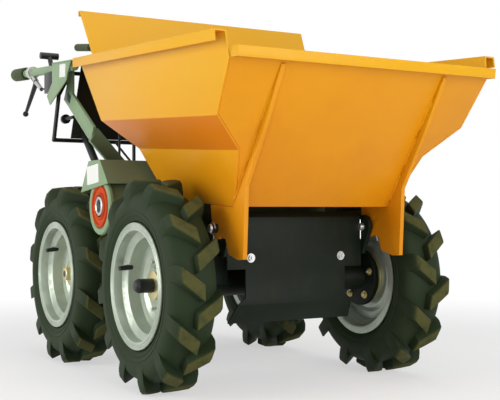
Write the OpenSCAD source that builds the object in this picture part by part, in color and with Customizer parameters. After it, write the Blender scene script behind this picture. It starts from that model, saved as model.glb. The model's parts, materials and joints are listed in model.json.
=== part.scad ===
// Walk-behind site dumper: four lugged wheels, a tipping skip, an engine behind it and a handle.
// +X is forward, +Y is left, +Z is up. The origin is on the ground, in the middle of the length.

/* [Wheels] */
// Distance between the front and the rear axle
wheel_base = 540; // [520:5:580]
// Distance between the centre planes of a left and a right wheel
wheel_track = 604; // [600:2:640]
// Radius of a tyre over its lugs
tyre_r = 236.5; // [225:0.5:240]
// Radius of a tyre's carcass at its crown
carcass_r = 214; // [205:1:218]
// Width of a tyre
tyre_w = 108; // [104:1:112]
// Bead seat radius of a rim
rim_seat_r = 127; // [120:1:132]
// Width of a rim over its flanges
rim_w = 101; // [96:1:104]
// Height of a rim's flange above the bead seat
rim_flange = 14; // [10:1:18]
// Depth of the drop centre below the bead seat
rim_drop = 17; // [12:1:22]
// Number of lugs in each of a tyre's two rows
lug_count = 12; // [10:1:14]
// Width of a lug across its length
lug_w = 27; // [22:1:30]
// Slant of a lug from the axle's direction in degrees
lug_slant = 38; // [34:1:42]
// Thickness of a rim's sheet
rim_sheet = 4; // [3:0.5:6]
// Distance of a rim's disc inboard of the wheel's centre plane
disc_inset = 12; // [8:1:16]
// Radius of a hub's flange
hub_flange_r = 60; // [54:1:66]
// Radius of a hub's boss
hub_boss_r = 33; // [30:1:36]
// Radius of a knob that frees a front wheel from the drive
knob_r = 16; // [14:1:18]

/* [Axles] */
// Radius of an axle's stub in the hub
stub_r = 15; // [12:0.5:18]
// Radius of an axle's tube
axle_tube_r = 30; // [26:1:34]
// Radius of the drum at an axle's end
drum_r = 70; // [60:1:80]
// Width of the drum at an axle's end
drum_w = 14; // [10:1:16]

/* [Skip] */
// Forward tilt of the skip on the chassis in degrees
skip_tilt = 3.9; // [3:0.1:4.5]
// Lean of the front and rear wall from upright in degrees
wall_lean = 31.4; // [29:0.1:33]
// Thickness of the skip's sheet
skip_sheet = 4; // [3:0.5:5]
// Height of the floor's underside over the tipping pivot
floor_z = 50; // [46:1:54]
// Height of the lower fold of a side wall over the pivot
step_z = 170; // [160:1:180]
// Height of the upper fold of a side wall over the pivot
fold_z = 237; // [225:1:245]
// Height of the fold of the front lip over the pivot
lip_z = 362; // [350:1:370]
// Height of the side rim over the pivot
rim_z = 393; // [385:1:400]
// Height of the rear wall's top over the pivot
back_z = 520; // [500:1:540]
// Half width of the skip at its floor
floor_hw = 206; // [204:1:212]
// Half width at the lower fold
step_hw = 240; // [236:1:242]
// Half width at the upper fold
fold_hw = 314; // [300:1:320]
// Half width at the side rim
rim_hw = 330; // [324:1:336]
// Distance of the floor's front edge ahead of the pivot
floor_front = 71; // [66:1:76]
// Distance of the floor's rear edge behind the pivot
floor_rear = 258; // [250:1:266]
// Overhang of the side walls behind the rear wall
side_overhang = 60; // [50:1:70]
// Outward width of the side rim
rim_out = 20; // [16:1:24]
// Downward depth of the side rim
rim_skirt = 20; // [16:1:24]
// Outward width of the front lip
lip_out = 14; // [12:1:18]
// Downward depth of the front lip
lip_skirt = 18; // [14:1:22]

/* [Tipping pivot] */
// Distance of the pivot ahead of the middle of the wheelbase
pivot_x = 385; // [380:1:390]
// Height of the pivot over the ground
pivot_z = 364; // [360:1:370]
// Radius of a pivot pin
pin_r = 10; // [8:0.5:12]
// Thickness of a rib on the skip's front wall
rib_t = 10; // [8:1:12]
// Distance of a rib's middle from the centre plane
rib_y = 204; // [202:1:208]

/* [Chassis] */
// Width of a frame rail
rail_w = 40; // [36:1:50]
// Height of a frame rail
rail_h = 60; // [50:1:66]
// Thickness of a pivot lug beside the rail
lug_t = 10; // [8:1:11]
// Thickness of the front cover
cover_t = 4; // [3:0.5:5]
// Height of the front cover's lower edge over the ground
cover_low = 152; // [146:1:160]

/* [Engine and hood] */
// Length of the hood at its lower edge
hood_len = 187; // [180:1:192]
// Height of the hood's top over the ground
hood_top = 530; // [526:1:536]
// Half width of the hood
hood_hw = 335; // [331:1:340]
// Thickness of the hood's sheet
hood_t = 3; // [2:0.5:4]
// Radius of the starter's housing
starter_r = 73; // [70:1:76]

/* [Handle] */
// Distance of a handle tube from the centre plane
bar_y = 275; // [270:1:280]
// Radius of a handle tube
bar_r = 12.5; // [10:0.5:14]
// Radius of a grip
grip_r = 20; // [17:0.5:22]
// Length of a grip
grip_len = 112; // [100:1:130]
// Distance of the grips' ends behind the middle of the wheelbase
grip_end = 886; // [870:1:900]
// Height of the grips' ends over the ground
grip_end_z = 854; // [848:1:862]
// Thickness of the console's sheet
console_t = 4; // [3:0.5:5]
// Height of the console's top over the ground
console_z = 834; // [830:1:840]
// Width of a handle arm's flat bar
arm_w = 46; // [40:1:50]
// Thickness of a handle arm's flat bar
arm_t = 8; // [6:1:10]

/* [Fits] */
// Gap between pieces that seat on each other
seat = 0.2; // [0.1:0.05:0.3]
// Radial clearance of a running shaft
run_fit = 0.05; // [0.02:0.01:0.1]

/* [Hidden] */
$fn = 64;

skip_orange = [0.86, 0.55, 0.12];
frame_green = [0.42, 0.52, 0.4];
dark_green = [0.12, 0.16, 0.12];
black = [0.08, 0.08, 0.08];
silver = [0.75, 0.77, 0.78];
zinc = [0.8, 0.72, 0.42];
tyre_black = [0.13, 0.14, 0.11];
starter_red = [0.78, 0.2, 0.1];

axle_z = tyre_r;
wheel_y = wheel_track / 2;
moving_gap = 6;
lug_gap = 1;

// Places along the skip's slanted walls, from the pivot and before its tilt
function front_x(z) = floor_front + (z - floor_z) * tan(wall_lean);
function rear_x(z) = -floor_rear - (z - floor_z) * tan(wall_lean);
wall_run = skip_sheet / cos(wall_lean);

// Forward reach of the lip and the shift that puts the origin in the middle of the length
lip_x = front_x(lip_z) + lip_out + skip_sheet;
lip_top = lip_z + skip_sheet;
front_reach = pivot_x + lip_x * cos(skip_tilt) + lip_top * sin(skip_tilt);
console_front = 318;
console_rear = 478;
bar_start = 330;
bar_room = 1.01;
bar_under = [-console_rear, 0, console_z - seat - bar_r * bar_room];
bar_rear = [-grip_end, 0, grip_end_z];
bar_dir = (bar_rear - bar_under) / norm(bar_rear - bar_under);
bar_front = bar_under + bar_dir * (console_rear - bar_start) / bar_dir[0];
x_shift = (grip_end + grip_r * bar_dir[2] - front_reach) / 2;

// Height of the console's underside, which runs level with the handle tubes
function console_at(x) = console_z + (x + console_rear) * bar_dir[2] / bar_dir[0];

reach = 2 * grip_end;
// How far a trimming form runs past the sheet that it trims
spare = 100;

module placed() translate([x_shift, 0, 0]) children();

// Bent sheet metal: a polyline that is thickened to its left
function unit(v) = v / norm(v);
function left_of(v) = [-v[1], v[0]];
function side_of(p, i) = left_of(unit(p[i + 1] - p[i]));
function mitre(p, i, t) =
  let (a = side_of(p, max(i - 1, 0)), b = side_of(p, min(i, len(p) - 2)), m = unit(a + b))
  p[i] + m * t / (m * a);
module bent(p, t) polygon(concat(p, [for (i = [len(p) - 1:-1:0]) mitre(p, i, t)]));

// Profiles drawn in X and Z or in Y and Z, extruded across the machine or along it
module across(y0, y1) translate([0, y1, 0]) rotate([90, 0, 0]) linear_extrude(y1 - y0) children();
module along(x0, x1) translate([x0, 0, 0]) rotate([90, 0, 90]) linear_extrude(x1 - x0) children();

// A round bar from one point to another, tapered or straight
module taper(a, b, ra, rb) {
  d = b - a;
  translate(a)
    rotate([0, atan2(norm([d[0], d[1]]), d[2]), atan2(d[1], d[0])])
      cylinder(r1 = ra, r2 = rb, h = norm(d));
}

module rod(a, b, r) taper(a, b, r, r);

module left_side(side) mirror([0, side < 0 ? 1 : 0, 0]) children();

// Wheels

tyre_hw = tyre_w / 2;
bead_hw = rim_w / 2 - rim_sheet - seat;
bulge_r = (rim_seat_r + rim_flange + carcass_r) / 2;
bulge_h = carcass_r - bulge_r;
bulge_depth = 12;
lug_past = 6;
// How far each wheel has rolled on, in shares of a lug's pitch
lead_front_right = 0.02;
lead_front_left = 0.43;
lead_rear_right = 0.79;
lead_rear_left = 0.15;
lug_bevel = 8;

shoulder_drop = 9;
shoulder_in = 8;
crown_share = 0.4;
shoulder_r = carcass_r - shoulder_drop;
shoulder_hw = tyre_hw - shoulder_in;
crown_hw = tyre_hw * crown_share;

module carcass_section() {
  half = [
    [rim_seat_r + seat, bead_hw], [bulge_r - bulge_h, tyre_hw - bulge_depth], [bulge_r, tyre_hw],
    [shoulder_r, shoulder_hw], [carcass_r, crown_hw]
  ];
  polygon(concat(half, [for (i = [len(half) - 1:-1:0]) [half[i][0], -half[i][1]]]));
}

// What the lugs fill: straight down at the shoulders, with a bevel up to the tread
module tread_section()
  polygon([
    [bulge_r, tyre_hw], [carcass_r, tyre_hw], [tyre_r, tyre_hw - lug_bevel],
    [tyre_r, -tyre_hw + lug_bevel], [carcass_r, -tyre_hw], [bulge_r, -tyre_hw]
  ]);

// A slanted bar from just past the middle of the tread out to the shoulder
module lug_bar() {
  half = lug_w / 2 / cos(lug_slant);
  run = (tyre_hw + lug_past) * tan(lug_slant);
  along(bulge_r, tyre_r + lug_past)
    polygon([[-half, -lug_past], [half, -lug_past], [half - run, tyre_hw], [-half - run, tyre_hw]]);
}

module tyre(lead) color(tyre_black) rotate([-90, 0, 0]) {
  pitch = 360 / lug_count;
  rotate_extrude($fn = 96) carcass_section();
  intersection() {
    rotate_extrude($fn = 96) tread_section();
    for (i = [0:lug_count - 1]) {
      rotate(-(i - lead) * pitch) lug_bar();
      rotate(-(i - lead + 0.5) * pitch) mirror([0, 0, 1]) lug_bar();
    }
  }
}

flange_in = rim_w / 2 - rim_sheet;
drop_r = rim_seat_r - rim_drop;
ledge_hw = 26;
drop_hw = 19;
disc_step = 8;
dish_outer = 0.8;
dish_inner = 0.7;

module rim_section() {
  bent([
    [rim_seat_r + rim_flange, flange_in], [rim_seat_r, flange_in], [rim_seat_r, ledge_hw],
    [drop_r, drop_hw], [drop_r, -drop_hw], [rim_seat_r, -ledge_hw], [rim_seat_r, -flange_in],
    [rim_seat_r + rim_flange, -flange_in]
  ], -rim_sheet);
  bent([
    [drop_r - rim_sheet / 2, -disc_inset], [drop_r * dish_outer, -disc_inset],
    [drop_r * dish_inner, -disc_inset - disc_step], [hub_boss_r + seat, -disc_inset - disc_step]
  ], -rim_sheet);
}

module rim() color(silver) rotate([-90, 0, 0]) rotate_extrude($fn = 96) rim_section();

disc_in = -disc_inset - disc_step - seat;
hub_flange_t = 10;
hub_in = disc_in - hub_flange_t;
hub_out = 8;
stub_back = 6;
stub_end = hub_out - stub_back;
nut_r = 19;
nut_h = 16;

module hub(is_front) color(zinc) rotate([-90, 0, 0]) difference() {
  union() {
    translate([0, 0, hub_in]) cylinder(r = hub_flange_r, h = hub_flange_t);
    translate([0, 0, hub_in]) cylinder(r = hub_boss_r, h = hub_out - hub_in);
    if (!is_front) translate([0, 0, hub_out]) cylinder(r = nut_r, h = nut_h, $fn = 6);
  }
  translate([0, 0, hub_in - seat]) cylinder(r = stub_r + run_fit, h = stub_end + 1 - hub_in);
}

knob_len = rim_w / 2 - hub_out;
knob_tip = 8;
knob_bevel = 5;
knob_tip_r = knob_r - knob_bevel;

module knob() color(black) rotate([-90, 0, 0]) translate([0, 0, hub_out + seat]) {
  cylinder(r = knob_r, h = knob_len - knob_tip);
  translate([0, 0, knob_len - knob_tip]) cylinder(r1 = knob_r, r2 = knob_tip_r, h = knob_tip);
}

module at_wheel(end, side)
  placed() translate([end * wheel_base / 2, 0, axle_z])
    left_side(side) translate([0, wheel_y, 0]) children();

module tyre_front_right() at_wheel(1, -1) tyre(lead_front_right);
module tyre_front_left() at_wheel(1, 1) tyre(lead_front_left);
module tyre_rear_right() at_wheel(-1, -1) tyre(lead_rear_right);
module tyre_rear_left() at_wheel(-1, 1) tyre(lead_rear_left);
module rim_front_right() at_wheel(1, -1) rim();
module rim_front_left() at_wheel(1, 1) rim();
module rim_rear_right() at_wheel(-1, -1) rim();
module rim_rear_left() at_wheel(-1, 1) rim();
module hub_front_right() at_wheel(1, -1) hub(true);
module hub_front_left() at_wheel(1, 1) hub(true);
module hub_rear_right() at_wheel(-1, -1) hub(false);
module hub_rear_left() at_wheel(-1, 1) hub(false);
module knob_right() at_wheel(1, -1) knob();
module knob_left() at_wheel(1, 1) knob();

// Axles and frame

drum_out = wheel_y + hub_in - moving_gap;
case_r = 58;
case_hw = 60;

module axle(end) color(dark_green) placed() translate([end * wheel_base / 2, 0, axle_z]) {
  for (side = [-1, 1]) left_side(side) rotate([-90, 0, 0]) {
    cylinder(r = axle_tube_r, h = drum_out - drum_w / 2);
    translate([0, 0, drum_out - drum_w]) cylinder(r = drum_r, h = drum_w);
    translate([0, 0, drum_out - 1]) cylinder(r = stub_r, h = wheel_y + stub_end - drum_out + 1);
    cylinder(r = case_r, h = case_hw);
  }
}

module front_axle() axle(1);
module rear_axle() axle(-1);

rail_out = rib_y - rib_t / 2 - moving_gap - lug_gap - lug_t - seat;
rail_in = rail_out - rail_w;
saddle_h = 34;
rail_low = axle_z + axle_tube_r + saddle_h;
rail_top = rail_low + rail_h;
rail_back = 7;
rail_front = pivot_x - rail_back;
rail_rear = 410;
lug_r = 28;
lug_len = 110;
saddle_len = 90;
pin_past = 14;
pin_end = rib_y + rib_t / 2 + pin_past;
// Where the edges of a pivot lug meet its eye, in shares of the eye's radius
lug_low = [0.8, -0.6];
lug_high = [-0.5, 0.86];

module rail(side) color(dark_green) placed() left_side(side) {
  difference() {
    union() {
      across(rail_in, rail_out) {
        translate([-rail_rear, rail_low]) square([rail_rear + rail_front, rail_h]);
        for (end = [-1, 1])
          translate([end * wheel_base / 2 - saddle_len / 2, axle_z]) square([saddle_len, rail_low - axle_z]);
      }
    }
    for (end = [-1, 1]) translate([end * wheel_base / 2, rail_in - 1, axle_z])
      rotate([-90, 0, 0]) cylinder(r = axle_tube_r + seat, h = rail_w + 2);
  }
  // Lug that carries the tipping pin beside the rail
  across(rail_out, rail_out + lug_t) {
    translate([pivot_x, pivot_z]) circle(r = lug_r);
    polygon([
      [pivot_x, pivot_z] + lug_r * lug_low, [pivot_x, rail_low], [pivot_x - lug_len, rail_low],
      [pivot_x - lug_len, rail_top], [pivot_x, pivot_z] + lug_r * lug_high
    ]);
  }
  translate([pivot_x, rail_out + lug_t / 2, pivot_z]) rotate([-90, 0, 0]) {
    cylinder(r = pin_r, h = pin_end - rail_out - lug_t / 2);
  }
}

module rail_right() rail(-1);
module rail_left() rail(1);

cover_x = rail_front + seat;
cover_gap = 1;
cover_kick = 30;
cover_fold = 12;
cover_step = 14;
cover_hw = rail_out - cover_gap;
cover_notch_hw = 134;
cover_notch_z = 272;
cover_rise = 34;
cover_top = pivot_z + cover_rise;
cover_crease_z = 194;
cover_crease_hw = 154;
cover_low_hw = 164;

// Front cover: a folded sheet whose lower part is narrower where the skip's ribs swing in
module front_cover() color(dark_green) placed() intersection() {
  across(-cover_hw, cover_hw)
    bent([
      [cover_x - cover_kick, cover_low], [cover_x, cover_crease_z], [cover_x, cover_top - cover_fold],
      [cover_x - cover_fold, cover_top]
    ], -cover_t);
  along(cover_x - 2 * cover_kick, cover_x + cover_kick)
    polygon([
      [-cover_low_hw, cover_low - cover_t], [-cover_crease_hw, cover_crease_z],
      [-cover_notch_hw, cover_crease_z + cover_step], [-cover_notch_hw, cover_notch_z],
      [-cover_hw, cover_notch_z], [-cover_hw, cover_top + cover_t], [cover_hw, cover_top + cover_t],
      [cover_hw, cover_notch_z], [cover_notch_hw, cover_notch_z],
      [cover_notch_hw, cover_crease_z + cover_step], [cover_crease_hw, cover_crease_z],
      [cover_low_hw, cover_low - cover_t]
    ]);
}

cross_t = 36;

module rear_cross() color(dark_green) placed()
  translate([-rail_rear - cross_t - seat, -rail_out, rail_low]) cube([cross_t, 2 * rail_out, rail_h]);

tower_front = 272;
tower_rear = 395;
tower_hw = 210;
tower_top = 535;
tower_sheet = 8;
tower_taper = 12;

// Frame behind the engine: a leg on each rail and a plate on which the handle stands
module handle_frame() color(dark_green) placed() {
  translate([-tower_rear, -tower_hw, tower_top - tower_sheet])
    cube([tower_rear - tower_front, 2 * tower_hw, tower_sheet]);
  for (side = [-1, 1]) left_side(side) across(rail_in, rail_out)
    polygon([
      [-tower_rear, rail_top + seat], [-tower_front, rail_top + seat],
      [-tower_front - tower_taper, tower_top], [-tower_rear + tower_taper, tower_top]
    ]);
}

rest_x = 180;
rest_len = 30;

// Height of the skip's floor over a place on the chassis
function floor_at(x) = pivot_z + floor_z / cos(skip_tilt) - (x - pivot_x) * tan(skip_tilt);

module skip_rest() color(black) placed()
  translate([rest_x - rest_len / 2, -floor_hw, rail_top + seat])
    cube([rest_len, 2 * floor_hw, floor_at(rest_x + rest_len / 2) - moving_gap - rail_top - seat]);

case_sunk = 20;
case_top = rail_top - case_sunk;
case_len = 280;
case_drop = 34;
case_low = axle_z - case_drop;
shaft_r = 24;

// Gearbox between the rails, with a drive tube to each axle
module drive_case() color(dark_green) placed() {
  translate([-case_len / 2, -rail_in + seat, case_low])
    cube([case_len, 2 * (rail_in - seat), case_top - case_low]);
  for (end = [-1, 1])
    rod([0, 0, axle_z], [end * (wheel_base / 2 - case_r - seat), 0, axle_z], shaft_r);
}

// Engine and hood

hood_rear = 119;
hood_front = hood_rear - hood_len;
hood_low = 452;
hood_front_low = 470;
hood_top_front = -15;
hood_top_rear = 64;
// How far the slanted sheets' inner faces stand in, in shares of their thickness
slant_share = 0.5;

module hood_form(inset) across(-hood_hw + inset, hood_hw - inset)
  polygon([
    [-hood_rear + inset * slant_share, hood_low - inset],
    [-hood_front - inset * slant_share, hood_front_low - inset],
    [-hood_top_front - inset * slant_share, hood_top - inset],
    [-hood_top_rear + inset * slant_share, hood_top - inset]
  ]);

// Hood: a folded sheet over the engine, with its front and rear slanted and its sides upright
module hood() color(frame_green) placed() difference() {
  hood_form(0);
  hood_form(hood_t);
}

engine_x = -30;
engine_len = 110;
engine_hw = 160;
engine_base = 24;
engine_foot = 12;
engine_sink = 10;

module engine() color(black) placed() {
  translate([engine_x - engine_len / 2, -engine_hw, rail_top + seat])
    cube([engine_len, 2 * engine_hw, hood_low - rail_top]);
  translate([-hood_top_rear + 2 * hood_t, -engine_hw, hood_low - engine_sink])
    cube([
      hood_top_rear - hood_top_front - 4 * hood_t, 2 * engine_hw,
      hood_top - hood_t - seat - hood_low + engine_sink
    ]);
  translate([engine_x - engine_len / 2 - engine_foot, -engine_hw, rail_top + seat])
    cube([engine_len + 2 * engine_foot, 2 * engine_hw, engine_base]);
}

starter_x = -2;
starter_z = 416;
starter_face_r = 65;
starter_neck_r = 52;
ring_r = 54;
ring_t = 5;
ring_inner = 27;
hood_gap = 4;

// The ring's face stays inside the hood's side. The cowl starts past the rail, or on an engine wider than the rails
ring_face = hood_hw - hood_t - hood_gap;
starter_depth = ring_face - ring_t - engine_hw - 2 * seat;
starter_neck = max(rail_out + seat * 2 - engine_hw, 0);
wall_share = 0.6;
starter_wall = (starter_depth - starter_neck) * wall_share;

module on_starter()
  placed() translate([starter_x, -engine_hw - seat, starter_z]) rotate([90, 0, 0]) children();

// Recoil starter: a neck over the rail, then the wide cowl with its sloping face
module starter_housing() color(frame_green) on_starter() {
  cylinder(r = starter_neck_r, h = starter_depth);
  translate([0, 0, starter_neck]) cylinder(r = starter_r, h = starter_wall);
  translate([0, 0, starter_neck + starter_wall])
    cylinder(r1 = starter_r, r2 = starter_face_r, h = starter_depth - starter_neck - starter_wall);
}

module starter_ring() color(starter_red) on_starter() translate([0, 0, starter_depth + seat]) difference() {
  cylinder(r = ring_r, h = ring_t);
  translate([0, 0, -1]) cylinder(r = ring_inner, h = ring_t + 2);
}

// Handle

arm_y = 250;
arm_top = [-481, 754];
arm_bend = [-264, 615];
arm_run = (arm_top - arm_bend) / norm(arm_top - arm_bend);
arm_post_x = 470;
post_front = arm_w - arm_post_x;
arm_foot_y = 118;
arm_foot_x = -320;
arm_sink = 30;
arm_hole = [26, 18];
arm_hole_at = 36;

module flat_bar(a, b, w, t) {
  d = b - a;
  translate(a) rotate([0, atan2(norm([d[0], d[1]]), d[2]), atan2(d[1], d[0])])
    translate([-w / 2, -t / 2, 0]) cube([w, t, norm(d)]);
}

// Handle arm: a flat bar that leans out from its frame, bends upright, and ends in a post under the console
module arm(side) color(frame_green) placed() left_side(side) {
  across(arm_y - arm_t, arm_y) difference() {
    union() {
      translate(arm_bend) rotate(atan2(arm_run[1], arm_run[0]))
        translate([0, -arm_w / 2]) square([norm(arm_top - arm_bend), arm_w]);
      polygon([
        [-arm_post_x, arm_top[1] - arm_w / 2], [post_front, arm_top[1] - arm_w / 2],
        [post_front, console_at(post_front) - seat], [-arm_post_x, console_at(-arm_post_x) - seat]
      ]);
    }
    translate(arm_top - arm_run * arm_hole_at) rotate(atan2(arm_run[1], arm_run[0]))
      square(arm_hole, center = true);
  }
  intersection() {
    flat_bar(
      [arm_foot_x, arm_foot_y, tower_top - arm_sink], [arm_bend[0], arm_y - arm_t / 2, arm_bend[1]],
      arm_w, arm_t
    );
    translate([-reach, 0, tower_top + seat]) cube(reach);
  }
}

module arm_right() arm(-1);
module arm_left() arm(1);

plate_y = bar_y + bar_r + seat;
plate_front = [-348, 788];
fin_front = [-356, 772];
fin_low = [-498, 717];
fin_tip = [-525, 746];
fin_rear_z = 780;

module console_top() color(frame_green) placed()
  across(-plate_y - console_t, plate_y + console_t)
    polygon([
      [-console_rear, console_z], [-console_front, console_at(-console_front)],
      [-console_front, console_at(-console_front) + console_t], [-console_rear, console_z + console_t]
    ]);

module console_side(side) color(frame_green) placed() left_side(side)
  across(plate_y, plate_y + console_t)
    polygon([
      [-console_rear, console_z - seat], [-console_front, console_at(-console_front) - seat], plate_front,
      fin_front, fin_low, fin_tip, [-console_rear, fin_rear_z]
    ]);

module console_right() console_side(-1);
module console_left() console_side(1);

grip_cap = 2;
function bar_at(x) = bar_front + bar_dir * (x - bar_front[0]) / bar_dir[0];

module handlebar(side) color(frame_green) placed() translate([0, side * bar_y, 0])
  rod(bar_front, bar_rear - bar_dir * grip_cap, bar_r);

module handlebar_right() handlebar(-1);
module handlebar_left() handlebar(1);

module grip(side) color(black) placed() translate([0, side * bar_y, 0]) difference() {
  rod(bar_rear - bar_dir * grip_len, bar_rear, grip_r);
  rod(bar_rear - bar_dir * (grip_len + 1), bar_rear - bar_dir * (grip_cap - seat), bar_r + run_fit);
}

module grip_right() grip(-1);
module grip_left() grip(1);

clamp_gap = 59;
clamp_x = grip_len - grip_end + clamp_gap;
clamp_r = 18;
clamp_w = 26;
lever_pivot = [-676, 0, 806];
lever_tip = [-786, 0, 718];
lever_arm_tip = [-624, 0, 778];
lever_r = 8;
lever_arm_r = 7.2;
lever_tip_r = 5;
lever_ball_r = 9;

// Hand lever: a clamp on the tube, a bracket to the pivot, the lever and the arm that pulls the cable
module lever(side) color(black) placed() translate([0, side * bar_y, 0]) difference() {
  union() {
    rod(bar_at(clamp_x) - bar_dir * clamp_w / 2, bar_at(clamp_x) + bar_dir * clamp_w / 2, clamp_r);
    rod(bar_at(clamp_x) - [0, 0, bar_r], lever_pivot, lever_r);
    taper(lever_pivot, lever_tip, lever_r, lever_tip_r);
    taper(lever_pivot, lever_arm_tip, lever_arm_r, lever_tip_r);
    translate(lever_pivot) sphere(r = lever_ball_r);
    translate(lever_tip) sphere(r = lever_ball_r);
  }
  rod(bar_at(clamp_x) - bar_dir * clamp_w, bar_at(clamp_x) + bar_dir * clamp_w * 3, bar_r + run_fit);
}

module lever_right() lever(-1);
module lever_left() lever(1);

pull_x = -524;
pull_top = 869;
pull_r = 7;
pull_back = 28;
pull_grip_r = 10;
pull_len = 54;

module pull_handle() color(black) placed() translate([0, -bar_y, 0]) difference() {
  union() {
    rod(bar_at(pull_x), [pull_x - pull_back, 0, pull_top], pull_r);
    translate([pull_x - pull_back, -pull_len / 2, pull_top])
      rotate([-90, 0, 0]) cylinder(r = pull_grip_r, h = pull_len);
  }
  rod(bar_at(pull_x) - bar_dir * pull_len, bar_at(pull_x) + bar_dir * pull_len, bar_r + seat);
}

gear_y = 150;
gear_foot_x = 380;
gear_knee_x = 552;
gear_knee_z = 905;
gear_end_x = 652;
gear_end_z = 920;
gear_r = 6;
gear_grip_r = 11;
gear_grip_lap = 15;

module gear_lever() color(black) placed() translate([0, -gear_y, 0]) {
  knee = [-gear_knee_x, 0, gear_knee_z];
  end = [-gear_end_x, 0, gear_end_z];
  intersection() {
    rod([-gear_foot_x, 0, console_at(-gear_foot_x)], knee, gear_r);
    across(-spare, spare)
      polygon([
        [-gear_end_x, console_at(-gear_end_x) + console_t + seat], [0, console_at(0) + console_t + seat],
        [0, reach], [-gear_end_x, reach]
      ]);
  }
  rod(knee + unit(knee - end) * gear_grip_lap, end, gear_grip_r);
}

switch_x = -560;
switch_len = 70;
switch_w = 2 * bar_r;
switch_h = 58;

module switch_box() color(black) placed() difference() {
  translate([switch_x, -bar_y - switch_w / 2, bar_at(switch_x)[2] - bar_r - switch_h])
    cube([switch_len, switch_w, switch_h]);
  translate([0, -bar_y, 0])
    rod(bar_at(switch_x - switch_len), bar_at(switch_x + 2 * switch_len), bar_r + seat);
}

guard_x = -472;
guard_t = 4;
guard_low = 620;
guard_top = console_at(guard_x) - seat;
guard_low_hw = 236;
guard_top_hw = 204;
hoop_r = 6;
hoop_bend = 1.02;
hoop_x = guard_x - guard_t - seat - hoop_r;
hoop_points = [[-284, 614], [-269, 746], [-235, 812]];
stop_x = -540;
stop_z = 683;
stop_stem_r = 5;
stop_r = 14;
stop_t = 12;
stop_y = -guard_low_hw
  + (guard_low_hw - guard_top_hw) * (stop_z - guard_low) / (guard_top - guard_low);

module guard_panel() color(black) placed() {
  along(guard_x - guard_t, guard_x)
    polygon([
      [-guard_low_hw, guard_low], [-guard_top_hw, guard_top],
      [guard_top_hw, guard_top], [guard_low_hw, guard_low]
    ]);
  rod([guard_x - guard_t / 2, stop_y, stop_z], [stop_x, stop_y, stop_z], stop_stem_r);
  rod([stop_x, stop_y, stop_z], [stop_x - stop_t, stop_y, stop_z], stop_r);
}

module guard_hoop() color(black) placed() {
  p = concat(hoop_points, [for (i = [2:-1:0]) [-hoop_points[i][0], hoop_points[i][1]]]);
  for (i = [0:len(p) - 1]) {
    a = p[i];
    b = p[(i + 1) % len(p)];
    rod([hoop_x, a[0], a[1]], [hoop_x, b[0], b[1]], hoop_r);
    translate([hoop_x, a[0], a[1]]) sphere(r = hoop_r * hoop_bend);
  }
}

stay_y = 195;
stay_r = 11;
stay_foot_x = 314;
stay_top_z = 680;
stay_lap = 50;

module stays() color(black) placed()
  for (side = [-1, 1]) left_side(side)
    intersection() {
      rod([-stay_foot_x, stay_y, tower_top - stay_lap], [guard_x - stay_lap, stay_y, stay_top_z], stay_r);
      translate([guard_x + seat, 0, tower_top + seat]) cube(reach);
    }

rod_r = 4;
rod_places = [-100, -60, 60];
rod_top_x = 350;
rod_foot_x = 118;
rod_lap = 20;

module control_rods() color(black) placed()
  for (y = rod_places)
    intersection() {
      rod([-rod_top_x, y, console_z + rod_lap], [-rod_foot_x, y, case_top - rod_lap], rod_r);
      across(-plate_y, plate_y)
        polygon([
          [-console_rear, console_z - seat], [0, console_at(0) - seat],
          [0, case_top + seat], [-console_rear, case_top + seat]
        ]);
    }

// Skip

skip_section = [
  [floor_hw, floor_z], [step_hw, step_z], [fold_hw, fold_z], [rim_hw, rim_z],
  [rim_hw + rim_out, rim_z], [rim_hw + rim_out, rim_z - rim_skirt]
];

module in_skip() placed() translate([pivot_x, 0, pivot_z]) rotate([0, skip_tilt, 0]) children();

// Half width between the side walls at one of their folds
function inside(i) = mitre(skip_section, i, skip_sheet) - [seat, 0];
wall_rise = (rim_hw - fold_hw) / (rim_z - fold_z);
back_hw = inside(3)[0] + (back_z - inside(3)[1]) * wall_rise;

module between_sides(top, top_hw)
  along(rear_x(back_z) - spare, front_x(lip_z) + spare)
    polygon(concat(
      [for (i = [0:2]) [-inside(i)[0], inside(i)[1]]],
      [[-top_hw, top], [top_hw, top]],
      [for (i = [2:-1:0]) inside(i)]));

side_low = floor_z - seat;
side_nose = 12;
side_rise = 10;
side_tail = 16;
side_tail_low = 10;

module skip_side(side) color(skip_orange) in_skip() left_side(side) intersection() {
  along(rear_x(rim_z) - 2 * spare, front_x(rim_z) + 2 * spare) bent(skip_section, skip_sheet);
  across(0, rim_hw + rim_out + spare)
    polygon([
      [rear_x(side_low), side_low], [front_x(side_low), side_low],
      [front_x(lip_z - lip_skirt), lip_z - lip_skirt],
      [front_x(lip_z - lip_skirt) - side_nose, rim_z + side_rise],
      [rear_x(rim_z) - side_overhang - side_tail, rim_z + side_rise],
      [rear_x(rim_z) - side_overhang - side_tail_low, rim_z - rim_skirt - 1],
      [rear_x(fold_z) - side_overhang, fold_z],
      [rear_x(step_z) - side_overhang / 2, step_z]
    ]);
}

module skip_side_right() skip_side(-1);
module skip_side_left() skip_side(1);

module skip_front() color(skip_orange) in_skip() intersection() {
  across(-rim_hw, rim_hw)
    bent([
      [front_x(floor_z), floor_z], [front_x(lip_z), lip_z], [front_x(lip_z) + lip_out, lip_z],
      [front_x(lip_z) + lip_out, lip_z - lip_skirt]
    ], skip_sheet);
  between_sides(rim_z, inside(3)[0]);
}

hem_out = 12;
hem_skirt = 14;

module skip_rear() color(skip_orange) in_skip() intersection() {
  across(-back_hw, back_hw)
    bent([
      [rear_x(floor_z) + wall_run, floor_z], [rear_x(back_z) + wall_run, back_z],
      [rear_x(back_z) + wall_run - hem_out, back_z],
      [rear_x(back_z) + wall_run - hem_out, back_z - hem_skirt]
    ], skip_sheet);
  between_sides(back_z + side_rise, back_hw);
}

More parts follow.
